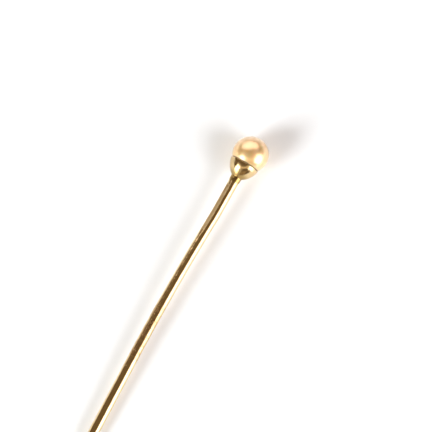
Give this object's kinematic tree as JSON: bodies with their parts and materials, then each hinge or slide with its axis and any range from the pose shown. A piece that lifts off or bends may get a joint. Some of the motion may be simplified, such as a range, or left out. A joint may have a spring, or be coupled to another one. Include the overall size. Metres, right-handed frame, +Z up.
{
  "type": "pearl stick pin",
  "caption": "Stick pin: a drilled pearl on the peg of a polished gold cup, soldered to a long, slightly bowed gold stem with a tapered point, lying on a table.",
  "frame": {"origin": "bottom centre of the box round the lying pin, on the table it lies on", "axes": "+X from the point towards the pearl, +Z up from the table"},
  "size_m": [0.062, 0.0046, 0.0046],
  "materials": {
    "gold": "polished",
    "pearl": "gloss"
  },
  "bodies": {
    "root": {"gold_pin": "gold", "pearl": "pearl"}
  },
  "joints": []
}
